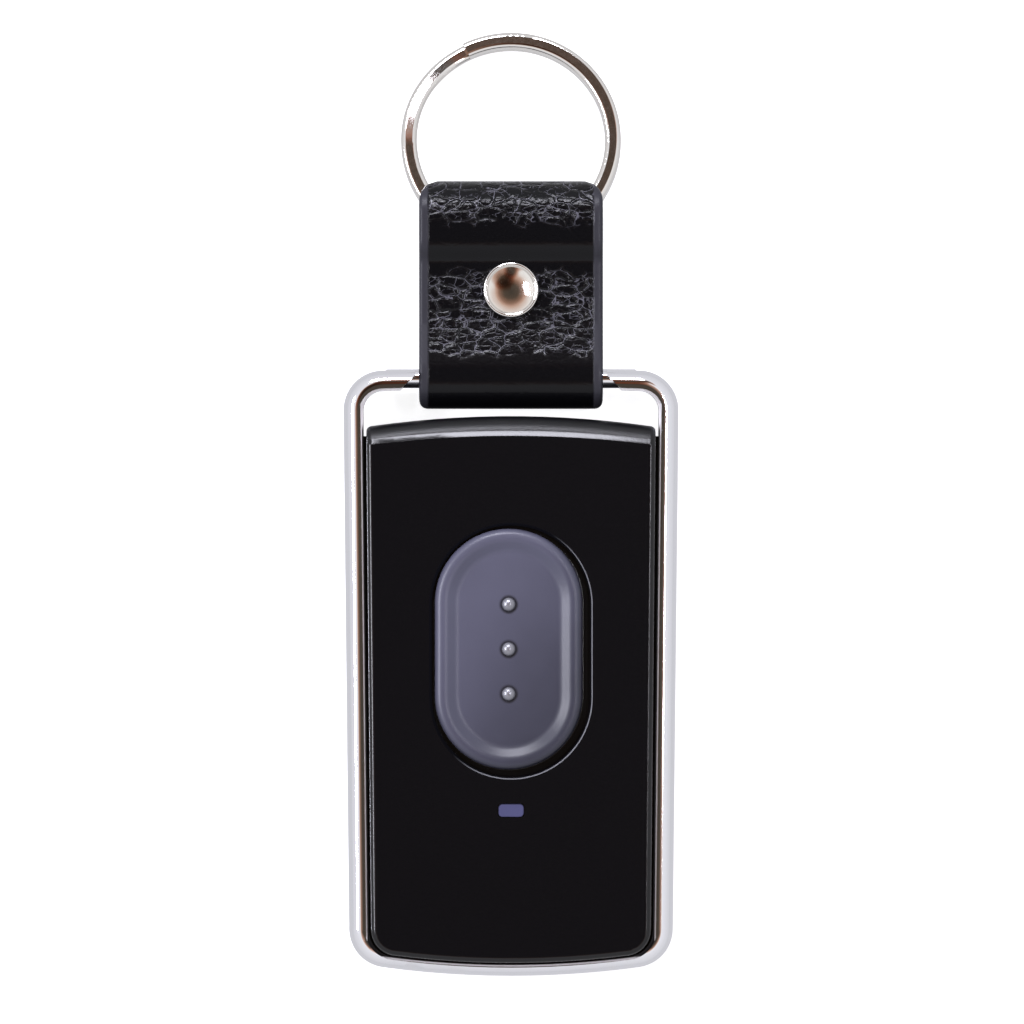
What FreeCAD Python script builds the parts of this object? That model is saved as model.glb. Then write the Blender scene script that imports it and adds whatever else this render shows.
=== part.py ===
import FreeCAD, Part
import math
import os
import Sketcher

# Key fob transmitter, lying on its back, button side up.
# Frame of the part: origin at the centre of the body's back face, +X to the right,
# +Y towards the split ring, +Z out of the button side. Millimetres.

doc = FreeCAD.newDocument("key_fob")
V = FreeCAD.Vector

# Driving dimensions: alias, value, what it is
TABLE = [
    ("body_thick", 11.6, "both shells together, back face to front face"),
    ("body_length", 59.3, "body along Y"),
    ("body_head_rise", 1.15, "bow of the body's head edge"),
    ("body_foot_rise", 1.15, "bow of the body's foot edge"),
    ("body_foot_corner", 2.8, "corner radius at the body's foot"),
    ("body_head_roll", 2.1, "rolled front edge at the body's head"),
    ("body_edge_round", 0.6, "rounding of the body's other front edges"),
    ("body_back_bevel", 0.5, "bevel of the back edges"),
    ("wall", 1.5, "side walls of the shells"),
    ("front_wall", 1.3, "front wall"),
    ("back_wall", 1.2, "back wall"),
    ("gap_head", 0.4, "body to frame, each side, at the head"),
    ("gap_foot", 0.25, "body to frame at the foot"),
    ("frame_head_width", 36.5, "frame across its head"),
    ("frame_foot_width", 35.1, "frame across its foot"),
    ("frame_depth", 9.0, "frame along Z"),
    ("frame_head_rise", 0.3, "bow of the frame's head edge"),
    ("frame_foot_rise", 1.5, "bow of the frame's foot edge"),
    ("frame_head_corner", 4.3, "outer corner radius at the head"),
    ("frame_foot_corner", 4.2, "outer corner radius at the foot"),
    ("frame_edge_round", 1.55, "rounding of the frame's outer edges"),
    ("band_side", 1.75, "front band of the frame at its sides"),
    ("band_head", 1.95, "front band at its head"),
    ("band_foot", 0.95, "front band at its foot"),
    ("band_step", 0.8, "depth of the step down to the inner ledge"),
    ("ledge", 0.4, "width of the inner ledge"),
    ("tongue_thick", 1.0, "tongue that the shells trap, along Z"),
    ("tongue_reach", 0.9, "tongue inwards from the ledge"),
    ("tongue_top", 27.5, "where the tongue ends, along Y"),
    ("tongue_gap", 0.05, "tongue to the groove that holds it"),
    ("rod_radius", 1.05, "round rod at the frame's head"),
    ("rod_reach", 4.1, "rod axis beyond the body's head edge"),
    ("scoop_low", 12.4, "half width of the strap's gap at the inner edge"),
    ("scoop_high", 10.4, "half width of the strap's gap at the outer edge"),
    ("scoop_tip", 0.7, "height of the horn beside the strap's gap"),
    ("button_width", 16.0, "button across"),
    ("button_length", 26.1, "button along Y"),
    ("button_x", -0.25, "centre of the button, which lies to one side in its opening"),
    ("button_y", 4.38, "centre of the button"),
    ("opening_y", 4.15, "centre of the button's opening"),
    ("button_gap", 0.57, "button to the edge of its opening, on average"),
    ("button_proud", 0.75, "rim of the button over the front face"),
    ("button_rim", 1.25, "flat-topped rim of the button"),
    ("button_dish", 0.7, "floor of the button below its rim"),
    ("button_flange", 0.8, "flange that keeps the button in, thickness"),
    ("button_flange_reach", 1.1, "flange outside the button's wall"),
    ("button_shell", 1.3, "button top thickness under its floor"),
    ("press_travel", 0.3, "travel of the button and of the switch"),
    ("opening_chamfer", 0.3, "chamfer round the button's opening"),
    ("dot_radius", 0.8, "raised dots on the button"),
    ("dot_height", 0.45, "dots over the button's floor"),
    ("dot_pitch", 4.85, "dots along Y"),
    ("light_width", 2.7, "light window across"),
    ("light_length", 1.35, "light window along Y"),
    ("light_y", -13.1, "centre of the light window"),
    ("light_corner", 0.4, "corners of the light window"),
    ("light_sunk", 0.15, "light window below the front face"),
    ("light_gap", 0.08, "light window to its opening"),
    ("light_flange", 0.7, "flange of the light guide"),
    ("board_thick", 1.0, "circuit board"),
    ("board_z", 5.0, "underside of the circuit board"),
    ("board_width", 25.6, "circuit board across"),
    ("board_length", 41.0, "circuit board along Y"),
    ("board_y", 0.3, "centre of the circuit board"),
    ("post_x", 11.3, "board posts from the centreline"),
    ("post_y", 18.6, "board posts from the board's centre"),
    ("post_radius", 1.5, "board post"),
    ("pin_radius", 0.8, "pin through the board"),
    ("pin_gap", 0.06, "pin to its hole in the board"),
    ("cell_radius", 10.0, "coin cell"),
    ("cell_thick", 3.2, "coin cell"),
    ("cell_y", 5.0, "centre of the cell"),
    ("clip_sheet", 0.2, "spring sheet of the positive clip"),
    ("clip_width", 6.0, "positive clip along Y"),
    ("contact_radius", 3.2, "negative contact"),
    ("cradle_gap", 0.55, "cell to the ribs that place it"),
    ("rib", 0.9, "inner ribs"),
    ("screw_x", 11.9, "case screws from the centreline"),
    ("screw_y", 24.2, "case screws from the body's centre"),
    ("screw_radius", 0.8, "screw shank"),
    ("screw_head_radius", 1.6, "screw head"),
    ("screw_head_thick", 0.9, "screw head"),
    ("screw_length", 6.0, "screw shank"),
    ("screw_seat", 1.0, "seat of the screw head over the back wall"),
    ("screw_bite", 2.6, "pilot holes in the front shell"),
    ("screw_gap", 0.05, "screw to its holes"),
    ("boss_radius", 2.0, "screw boss"),
    ("chip_x", -5.6, "controller chip"),
    ("chip_y", -6.4, "controller chip"),
    ("chip_width", 3.9, "controller chip across"),
    ("chip_length", 4.9, "controller chip along Y"),
    ("chip_pitch", 1.27, "legs of the controller chip"),
    ("can_x", 6.3, "resonator"),
    ("can_y", -6.2, "resonator"),
    ("can_width", 3.8, "square can of the resonator"),
    ("transistor_x", 7.4, "radio transistor"),
    ("transistor_y", -11.8, "radio transistor"),
    ("capacitor_x", -8.6, "row of capacitors"),
    ("resistor_x", -5.4, "row of resistors"),
    ("row_y", -10.6, "first of each row"),
    ("row_pitch", 1.9, "rows of small parts, along Y"),
    ("small_long", 1.6, "small parts across"),
    ("small_wide", 0.8, "small parts along Y"),
    ("coil_turns", 5, "turns of the antenna coil"),
    ("coil_pitch", 1.5, "turns of the antenna coil, along X"),
    ("coil_radius", 1.0, "middle line of the antenna coil"),
    ("coil_wire", 0.2, "half of the coil's square wire"),
    ("coil_x", -5.0, "middle of the antenna coil"),
    ("coil_inside", 3.23, "middle of the antenna coil from the button's end, along Y"),
    ("switch_width", 6.0, "square tact switch"),
    ("switch_tall", 2.5, "tact switch housing over the board"),
    ("stem_radius", 1.7, "moving stem of the switch"),
    ("stem_gap", 0.05, "stem to its guide and to the button"),
    ("stem_tall", 0.9, "stem over the switch cover"),
    ("strap_half", 10.0, "half width of the strap"),
    ("strap_thick", 1.5, "leather"),
    ("strap_rod_gap", 0.75, "fold to rod"),
    ("strap_ply_gap", 0.04, "between the layers under the rivet"),
    ("strap_reach", 21.55, "outer face of the far fold beyond the rod, along Y"),
    ("ring_gap", 0.3, "ring to the inside of its loop"),
    ("ring_room", 0.4, "ring to the leather that it passes at the loop's ends"),
    ("loop_run", 3.6, "flat run of the ring loop before the fold"),
    ("strap_lap", 3.1, "strap ends past the rivet"),
    ("strap_corner", 0.9, "corners of the strap where it folds round the rod"),
    ("strap_far_corner", 2.2, "corners of the strap where it folds round the ring"),
    ("rivet_reach", 9.65, "rivet beyond the rod, along Y"),
    ("rivet_radius", 3.0, "rivet cap"),
    ("rivet_edge", 0.35, "edge of the rivet cap"),
    ("rivet_dome", 0.3, "dome of the rivet cap over its edge"),
    ("rivet_rim", 0.4, "raised rim of the cap"),
    ("rivet_stem", 0.9, "stem of the rivet post"),
    ("rivet_tube", 1.25, "tube of the rivet cap"),
    ("rivet_gap", 0.04, "stem to tube and tube to leather"),
    ("ring_radius", 12.0, "split ring, outside"),
    ("ring_wire", 1.75, "wire of the ring, radially"),
    ("ring_coil", 1.15, "wire of the ring, axially"),
    ("ring_split", 0.05, "gap between the two coils"),
    ("ring_round", 0.5, "rounded outer edges of the wire"),
    ("ring_reach", 25.95, "centre of the ring beyond the rod, along Y"),
    ("ring_joggle", 34.0, "half angle of the step between the coils"),
    ("ring_joggle_at", 150.0, "where the coils step, as an angle"),
]


class Size:
    """A length with the spreadsheet expression that gives it."""

    def __init__(self, value, text):
        self.value = value
        self.text = text

    def joined(self, sign, other, value):
        return Size(value, "(" + self.text + sign + other.text + ")")

    def __add__(self, other):
        other = sized(other)
        return self.joined(" + ", other, self.value + other.value)

    def __sub__(self, other):
        other = sized(other)
        return self.joined(" - ", other, self.value - other.value)

    def __mul__(self, other):
        other = sized(other)
        return self.joined(" * ", other, self.value * other.value)

    def __truediv__(self, other):
        other = sized(other)
        return self.joined(" / ", other, self.value / other.value)

    def __radd__(self, other):
        return sized(other) + self

    def __rsub__(self, other):
        return sized(other) - self

    def __rmul__(self, other):
        return sized(other) * self

    def __neg__(self):
        return sized(-1.0) * self


def sized(number):
    if isinstance(number, Size):
        return number
    return Size(float(number), repr(float(number)))


class Dimensions:
    """The named sizes, one attribute for each alias of the sheet."""


def fill_sheet():
    sheet = doc.addObject("Spreadsheet::Sheet", "Sizes")
    named = Dimensions()
    for row, (alias, value, note) in enumerate(TABLE, start=1):
        sheet.set("A%d" % row, alias)
        sheet.set("B%d" % row, str(value))
        sheet.setAlias("B%d" % row, alias)
        sheet.set("C%d" % row, note)
        setattr(named, alias, Size(float(value), "Sizes." + alias))
    doc.recompute()
    return named


d = fill_sheet()


# Levels along Z and lines along Y that several pieces share
body_head = d.body_length / 2
body_foot = -body_head
split_z = d.body_thick / 2
frame_back = split_z - d.frame_depth / 2
frame_front = split_z + d.frame_depth / 2
rod_y = body_head + d.rod_reach
rivet_y = rod_y + d.rivet_reach
strap_far = rod_y + d.strap_reach
ring_y = rod_y + d.ring_reach
frame_head = rod_y + d.rod_radius
frame_foot = body_foot - d.gap_foot - d.ledge * 0.75 - d.band_foot
front_inner = d.body_thick - d.front_wall
board_top = d.board_z + d.board_thick
cell_top = d.board_z - 0.25
cell_back = cell_top - d.cell_thick
button_top = d.body_thick + d.button_proud
flange_top = front_inner - 0.05
button_floor = button_top - d.button_dish
stem_top = board_top + d.switch_tall + d.stem_tall
screw_seat = d.back_wall + d.screw_seat


# Small builders for sketches and features

def new_body(name):
    body = doc.addObject("PartDesign::Body", name)
    body.Label = name
    return body


def new_sketch(body, name, plane, height=None):
    """A sketch on one of the body's own origin planes, lifted along its normal."""
    sketch = body.newObject("Sketcher::SketchObject", name)
    planes = [item for item in body.Origin.OriginFeatures if item.Role == plane]
    sketch.AttachmentSupport = [(planes[0], "")]
    sketch.MapMode = "FlatFace"
    if height is not None:
        sketch.setExpression("AttachmentOffset.Base.z", sized(height).text)
    return sketch


def bind(sketch, kind, *where_and_size):
    """Add a constraint whose value follows the sheet."""
    *where, size = where_and_size
    size = sized(size)
    index = sketch.addConstraint(Sketcher.Constraint(kind, *where, size.value))
    sketch.setExpression("Constraints[%d]" % index, size.text)


def place_point(sketch, shape, end, x, y):
    bind(sketch, "DistanceX", -1, 1, shape, end, x)
    bind(sketch, "DistanceY", -1, 1, shape, end, y)


def draw_outline(sketch, corners, radii=None, rounds=None):
    """Close the corners with straight sides, or with an arc where a side has a radius.

    Corners run anticlockwise. A positive radius bulges outwards, a negative one runs
    the other way round its centre. A corner with a round gets a tangent arc.
    """
    count = len(corners)
    radii = radii or [None] * count
    rounds = rounds or [None] * count
    points = [V(x.value, y.value, 0) for x, y in corners]
    sides = [side_guess(points[i], points[(i + 1) % count], radii[i]) for i in range(count)]
    bends = [bend_guess(points[i], sides[i - 1], sides[i], rounds[i]) for i in range(count)]

    shapes = []
    for index in range(count):
        start = bends[index][1]
        end = bends[(index + 1) % count][0]
        shapes.append(add_curve(sketch, start, end, sides[index][0], sides[index][1]))
        if radii[index] is not None:
            radius = radii[index]
            bind(sketch, "Radius", shapes[index][0], radius if radius.value > 0 else -radius)
    for index in range(count):
        before, _, before_end = shapes[index - 1]
        after, after_start, _ = shapes[index]
        if rounds[index] is None:
            place_point(sketch, after, after_start, *corners[index])
            sketch.addConstraint(Sketcher.Constraint("Coincident", before, before_end, after, after_start))
            continue
        start, end, centre, turn = bends[index]
        bend, bend_start, bend_end = add_curve(sketch, start, end, centre, turn)
        corner = sketch.addGeometry(Part.Point(points[index]), True)
        place_point(sketch, corner, 1, *corners[index])
        for side in (before, after):
            sketch.addConstraint(Sketcher.Constraint("PointOnObject", corner, 1, side))
        sketch.addConstraint(Sketcher.Constraint("Tangent", before, before_end, bend, bend_start))
        sketch.addConstraint(Sketcher.Constraint("Tangent", bend, bend_end, after, after_start))
        bind(sketch, "Radius", bend, rounds[index])


def side_guess(a, b, radius):
    """Centre, turn and the directions at both ends of one side."""
    along = (b - a).normalize()
    if radius is None:
        return None, 0, along, along
    turn = 1 if radius.value > 0 else -1
    left = V(-along.y, along.x, 0)
    reach = math.sqrt(radius.value ** 2 - (b - a).Length ** 2 / 4)
    centre = (a + b) * 0.5 + left * reach * turn
    first, last = [V(c.y - p.y, p.x - c.x, 0).normalize() * turn for c, p in ((centre, a), (centre, b))]
    return centre, turn, first, last


def bend_guess(corner, before, after, radius):
    """Start, end, centre and turn of the arc that rounds one corner."""
    if radius is None:
        return corner, corner, None, 0
    back = before[3] * -1
    on = after[2]
    half = back.getAngle(on) / 2
    run = radius.value / math.tan(half)
    centre = corner + (back + on).normalize() * (radius.value / math.sin(half))
    turn = 1 if before[3].cross(on).z > 0 else -1
    return corner + back * run, corner + on * run, centre, turn


def add_curve(sketch, start, end, centre, turn):
    """A line, or an arc round its centre; returns it with its start and end points."""
    if centre is None:
        return sketch.addGeometry(Part.LineSegment(start, end), False), 1, 2
    first, last = (start, end) if turn > 0 else (end, start)
    angles = [math.atan2(point.y - centre.y, point.x - centre.x) for point in (first, last)]
    circle = Part.Circle(centre, V(0, 0, 1), (first - centre).Length)
    shape = sketch.addGeometry(Part.ArcOfCircle(circle, *angles), False)
    return (shape, 1, 2) if turn > 0 else (shape, 2, 1)


def draw_plate(sketch, half_head, half_foot, head, foot, head_rise, foot_rise, head_round, foot_round):
    """A tapered plate with a bowed head and foot and rounded corners."""
    corners = [
        (-half_foot, foot + foot_rise),
        (half_foot, foot + foot_rise),
        (half_head, head - head_rise),
        (-half_head, head - head_rise),
    ]
    radii = [bow_radius(half_foot, foot_rise), None, bow_radius(half_head, head_rise), None]
    draw_outline(sketch, corners, radii, [foot_round, foot_round, head_round, head_round])


def bow_radius(half, rise):
    return (half * half + rise * rise) / (2 * rise)


def draw_box(sketch, x0, x1, y0, y1, corner=None):
    x0, x1, y0, y1 = sized(x0), sized(x1), sized(y0), sized(y1)
    corner = corner and sized(corner)
    draw_outline(sketch, [(x0, y0), (x1, y0), (x1, y1), (x0, y1)], None, [corner] * 4)


def draw_circle(sketch, x, y, radius):
    x, y, radius = sized(x), sized(y), sized(radius)
    shape = sketch.addGeometry(Part.Circle(V(x.value, y.value, 0), V(0, 0, 1), radius.value), False)
    bind(sketch, "Radius", shape, radius)
    put_centre(sketch, shape, x, y)


def put_centre(sketch, shape, x, y):
    if x.value == 0.0:
        sketch.addConstraint(Sketcher.Constraint("PointOnObject", shape, 3, -2))
    else:
        bind(sketch, "DistanceX", -1, 1, shape, 3, x)
    bind(sketch, "DistanceY", -1, 1, shape, 3, y)


def draw_slot(sketch, x, y, width, length):
    """An upright slot with round ends."""
    x = sized(x)
    radius = width / 2
    reach = (length - width) / 2
    high = V(x.value, (y + reach).value, 0)
    low = V(x.value, (y - reach).value, 0)
    side = V(radius.value, 0, 0)
    up = V(0, 0, 1)
    head = sketch.addGeometry(Part.ArcOfCircle(Part.Circle(high, up, radius.value), 0, math.pi), False)
    foot = sketch.addGeometry(Part.ArcOfCircle(Part.Circle(low, up, radius.value), math.pi, 2 * math.pi), False)
    left = sketch.addGeometry(Part.LineSegment(high - side, low - side), False)
    right = sketch.addGeometry(Part.LineSegment(low + side, high + side), False)
    for one, one_end, two, two_end in ((head, 2, left, 1), (left, 2, foot, 1), (foot, 2, right, 1), (right, 2, head, 1)):
        sketch.addConstraint(Sketcher.Constraint("Tangent", one, one_end, two, two_end))
    for arc, centre in ((head, y + reach), (foot, y - reach)):
        put_centre(sketch, arc, x, centre)
    bind(sketch, "Radius", head, radius)


def pad(body, sketch, name, length):
    feature = body.newObject("PartDesign::Pad", name)
    feature.Profile = sketch
    feature.setExpression("Length", sized(length).text)
    doc.recompute()
    return feature


def pocket(body, sketch, name, depth, up):
    """Cut from the sketch, up along its normal or down against it, and check that it cut."""
    before = body.Shape.Volume
    feature = body.newObject("PartDesign::Pocket", name)
    feature.Profile = sketch
    feature.Reversed = up
    feature.setExpression("Length", sized(depth).text)
    doc.recompute()
    if not body.Shape.Volume < before - 1e-6:
        raise RuntimeError(name + " cuts nothing")
    return feature


def dress(body, kind, name, edges, size):
    """A fillet or a chamfer on the named edges of the body's last feature."""
    feature = body.newObject(kind, name)
    feature.Base = (feature.BaseFeature, edges)
    feature.setExpression("Radius" if kind.endswith("Fillet") else "Size", sized(size).text)
    doc.recompute()
    return feature


def edges_where(shape, test):
    return ["Edge%d" % (index + 1) for index, edge in enumerate(shape.Edges) if test(edge)]


def near(one, two):
    return abs(one - two) < 1e-4


def at_level(z):
    """A test for edges that lie flat at one height."""
    def test(edge):
        return near(edge.BoundBox.ZMin, z.value) and near(edge.BoundBox.ZMax, z.value)
    return test


def outer_rim(shape, z):
    """Edges of a flat face that have no material outside them."""
    def test(edge):
        middle = edge.valueAt((edge.FirstParameter + edge.LastParameter) / 2)
        beyond = V(middle.x * 1.01, middle.y * 1.01, z.value + (split_z.value - z.value) * 0.02)
        return at_level(z)(edge) and not shape.isInside(beyond, 1e-6, True)
    return edges_where(shape, test)


# Outlines shared by the frame, its tongue and both shells

def frame_outline(sketch, side, head, foot, head_round, foot_round):
    """The frame's outline moved inwards by side, head and foot."""
    side, head, foot = sized(side), sized(head), sized(foot)
    draw_plate(
        sketch,
        d.frame_head_width / 2 - side,
        d.frame_foot_width / 2 - side,
        frame_head - head,
        frame_foot + foot,
        d.frame_head_rise,
        d.frame_foot_rise - foot * 0.2,
        head_round,
        foot_round,
    )


ledge_in = d.band_side + d.ledge
body_half_head = d.frame_head_width / 2 - ledge_in - d.gap_head
body_half_foot = d.frame_foot_width / 2 - ledge_in - d.gap_foot


def body_outline(sketch, inset, head_round):
    inset = sized(inset)
    draw_plate(
        sketch,
        body_half_head - inset,
        body_half_foot - inset,
        body_head - inset,
        body_foot + inset,
        d.body_head_rise,
        d.body_foot_rise,
        head_round,
        d.body_foot_corner - inset,
    )


tongue_round = d.frame_foot_corner - d.band_side


def tongue_line(clear):
    """Inner line of the tongue: left top, left foot, right foot and right top."""
    clear = sized(clear)
    half_head = d.frame_head_width / 2 - ledge_in - d.tongue_reach - clear
    half_foot = d.frame_foot_width / 2 - ledge_in - d.tongue_reach - clear
    foot = frame_foot + d.band_foot + d.ledge * 0.75 + d.tongue_reach + clear
    low = foot + d.body_foot_rise
    slope = (half_head - half_foot) / (body_head - body_foot)
    half_top = half_foot + slope * (d.tongue_top - low)
    return half_top, half_foot, low


def tongue_groove(body, name, z, up):
    """Rebate round a shell's sides and foot that the tongue lies in."""
    half_top, half_foot, low = tongue_line(d.tongue_gap)
    top = d.tongue_top + d.tongue_gap
    wide = d.frame_head_width / 2
    deep = frame_foot - 1.0
    corners = [
        (-wide, top),
        (-wide, deep),
        (wide, deep),
        (wide, top),
        (half_top, top),
        (half_foot, low),
        (-half_foot, low),
        (-half_top, top),
    ]
    radii = [None] * 8
    radii[5] = -bow_radius(half_foot, d.body_foot_rise)
    rounds = [None] * 8
    rounds[5] = rounds[6] = tongue_round - d.tongue_gap
    sketch = new_sketch(body, name + "_sketch", "XY_Plane", z)
    draw_outline(sketch, corners, radii, rounds)
    pocket(body, sketch, name, d.tongue_thick / 2 + d.tongue_gap, up)


# Frame with its rod and tongue

def build_frame():
    body = new_body("frame_surround")
    sketch = new_sketch(body, "frame_outline", "XY_Plane", frame_back)
    frame_outline(sketch, 0, 0, 0, d.frame_head_corner, d.frame_foot_corner)
    pad(body, sketch, "frame_block", d.frame_depth)
    rims = outer_rim(body.Shape, frame_back) + outer_rim(body.Shape, frame_front)
    dress(body, "PartDesign::Fillet", "frame_edges", rims, d.frame_edge_round)

    tongue_back = split_z - d.tongue_thick / 2
    ledge_head = d.band_head + d.ledge / 2
    ledge_foot = d.band_foot + d.ledge * 0.75
    step_head = d.frame_head_corner - d.band_side
    step_foot = d.frame_foot_corner - d.band_foot
    for face, up, side in ((frame_front, False, "front"), (frame_back, True, "back")):
        sketch = new_sketch(body, side + "_step_sketch", "XY_Plane", face)
        frame_outline(sketch, d.band_side, d.band_head, d.band_foot, step_head, step_foot)
        pocket(body, sketch, side + "_step", d.band_step, up)
        sketch = new_sketch(body, side + "_well_sketch", "XY_Plane", face)
        frame_outline(sketch, ledge_in, ledge_head, ledge_foot, step_head - d.ledge, step_foot - d.ledge)
        pocket(body, sketch, side + "_well", (d.frame_depth - d.tongue_thick) / 2, up)

    half_top, half_foot, low = tongue_line(0)
    ledge_foot_y = frame_foot + d.frame_foot_rise
    run = (d.tongue_top - ledge_foot_y) / (frame_head - d.frame_head_rise - ledge_foot_y)
    half_ledge = d.frame_foot_width / 2 - ledge_in + run * (d.frame_head_width - d.frame_foot_width) / 2
    wide_head = d.frame_head_width / 2 - ledge_in
    head = frame_head - d.band_head - d.ledge / 2
    corners = [
        (-half_foot, low),
        (half_foot, low),
        (half_top, d.tongue_top),
        (half_ledge, d.tongue_top),
        (wide_head, head - d.frame_head_rise),
        (-wide_head, head - d.frame_head_rise),
        (-half_ledge, d.tongue_top),
        (-half_top, d.tongue_top),
    ]
    radii = [None] * 8
    radii[0] = bow_radius(half_foot, d.body_foot_rise)
    radii[4] = bow_radius(wide_head, d.frame_head_rise)
    rounds = [tongue_round] * 2 + [None] * 2 + [step_head - d.ledge] * 2 + [None] * 2
    sketch = new_sketch(body, "tongue_sketch", "XY_Plane", tongue_back)
    draw_outline(sketch, corners, radii, rounds)
    pocket(body, sketch, "tongue_opening", d.tongue_thick, True)

    bar_low = head - d.frame_head_rise - 0.2
    above = frame_head + 1.0
    horn = frame_head - d.scoop_tip
    sketch = new_sketch(body, "scoop_sketch", "XY_Plane", frame_back)
    corners = [
        (-d.scoop_low, bar_low),
        (d.scoop_low, bar_low),
        (d.scoop_high, horn),
        (d.scoop_high, above),
        (-d.scoop_high, above),
        (-d.scoop_high, horn),
    ]
    draw_outline(sketch, corners)
    pocket(body, sketch, "strap_scoop", d.frame_depth, True)

    sketch = new_sketch(body, "rod_sketch", "YZ_Plane", -(d.scoop_low + 1.2))
    draw_circle(sketch, rod_y, split_z, d.rod_radius)
    pad(body, sketch, "rod", 2 * (d.scoop_low + 1.2))
    return body


# Shells

def stand_post(body, name, x, y, z, radius, height):
    """A round post along Z."""
    sketch = new_sketch(body, name + "_sketch", "XY_Plane", z)
    draw_circle(sketch, x, y, radius)
    pad(body, sketch, name, height)


def drill(body, name, x, y, z, radius, depth, up=True):
    sketch = new_sketch(body, name + "_sketch", "XY_Plane", z)
    draw_circle(sketch, x, y, radius)
    pocket(body, sketch, name, depth, up)


def screw_spots():
    for across in (-1, 1):
        for along in (-1, 1):
            yield across * d.screw_x, along * d.screw_y


def post_spots():
    for across in (-1, 1):
        for along in (-1, 1):
            yield across * d.post_x, d.board_y + along * d.post_y


def build_front_shell():
    body = new_body("front_shell")
    sketch = new_sketch(body, "front_outline", "XY_Plane", split_z)
    body_outline(sketch, 0, None)
    pad(body, sketch, "front_block", d.body_thick - split_z)

    def head_edge(edge):
        return at_level(d.body_thick)(edge) and edge.BoundBox.YMax > body_head.value - 0.1
    edges = edges_where(body.Shape, head_edge)
    dress(body, "PartDesign::Fillet", "front_roll", edges, d.body_head_roll)

    def side_edge(edge):
        return at_level(d.body_thick)(edge) and edge.BoundBox.XMax > body_half_foot.value - 0.1
    edges = edges_where(body.Shape, side_edge)
    dress(body, "PartDesign::Fillet", "front_edges", edges, d.body_edge_round)

    sketch = new_sketch(body, "front_cavity_sketch", "XY_Plane", split_z)
    body_outline(sketch, d.wall, None)
    pocket(body, sketch, "front_cavity", front_inner - split_z, True)
    tongue_groove(body, "front_groove", split_z, True)

    for number, (x, y) in enumerate(screw_spots()):
        stand_post(body, "front_boss_%d" % number, x, y, split_z, d.boss_radius, front_inner - split_z)
        drill(body, "front_pilot_%d" % number, x, y, split_z, d.screw_radius + d.screw_gap, d.screw_bite)

    sketch = new_sketch(body, "button_opening_sketch", "XY_Plane", front_inner)
    draw_slot(sketch, 0, d.opening_y, d.button_width + 2 * d.button_gap, d.button_length + 2 * d.button_gap)
    pocket(body, sketch, "button_opening", d.front_wall, True)

    def opening_edge(edge):
        box = edge.BoundBox
        inside = max(box.XMax, -box.XMin) < (d.button_width / 2 + d.button_gap).value + 1e-3
        return at_level(d.body_thick)(edge) and inside
    edges = edges_where(body.Shape, opening_edge)
    dress(body, "PartDesign::Chamfer", "opening_chamfer", edges[0:1], d.opening_chamfer)

    half = d.light_width / 2 + d.light_gap
    tall = d.light_length / 2 + d.light_gap
    sketch = new_sketch(body, "light_opening_sketch", "XY_Plane", front_inner)
    draw_box(sketch, -half, half, d.light_y - tall, d.light_y + tall, d.light_corner + d.light_gap)
    pocket(body, sketch, "light_opening", d.front_wall, True)
    return body


def build_rear_shell():
    body = new_body("rear_shell")
    sketch = new_sketch(body, "rear_outline", "XY_Plane")
    body_outline(sketch, 0, d.body_edge_round)
    pad(body, sketch, "rear_block", split_z)
    edges = edges_where(body.Shape, at_level(sized(0)))
    dress(body, "PartDesign::Chamfer", "rear_edges", edges, d.body_back_bevel)

    sketch = new_sketch(body, "rear_cavity_sketch", "XY_Plane", d.back_wall)
    body_outline(sketch, d.wall, None)
    pocket(body, sketch, "rear_cavity", split_z - d.back_wall, True)
    tongue_groove(body, "rear_groove", split_z, False)

    cradle = d.cell_radius + d.cradle_gap
    sketch = new_sketch(body, "cradle_sketch", "XY_Plane", d.back_wall)
    draw_circle(sketch, 0, d.cell_y, cradle + d.rib)
    draw_circle(sketch, 0, d.cell_y, cradle)
    pad(body, sketch, "cradle", cell_top - d.back_wall - 0.6)
    slot = d.clip_width / 2 + 0.6
    sketch = new_sketch(body, "cradle_slot_sketch", "XY_Plane", d.back_wall)
    draw_box(sketch, -(cradle + 2.0), cradle + 2.0, d.cell_y - slot, d.cell_y + slot)
    pocket(body, sketch, "cradle_slot", cell_top - d.back_wall, True)

    for number, (x, y) in enumerate(screw_spots()):
        stand_post(body, "rear_boss_%d" % number, x, y, d.back_wall, d.boss_radius, split_z - d.back_wall)
        drill(body, "rear_hole_%d" % number, x, y, 0, d.screw_radius + d.screw_gap, split_z)
        drill(body, "rear_seat_%d" % number, x, y, 0, d.screw_head_radius + d.screw_gap, screw_seat)
    for number, (x, y) in enumerate(post_spots()):
        stand_post(body, "board_post_%d" % number, x, y, d.back_wall, d.post_radius, d.board_z - d.back_wall)
        stand_post(body, "board_pin_%d" % number, x, y, d.back_wall, d.pin_radius, board_top - d.back_wall)
    return body


# Button with its rim, dished floor and dots

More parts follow.
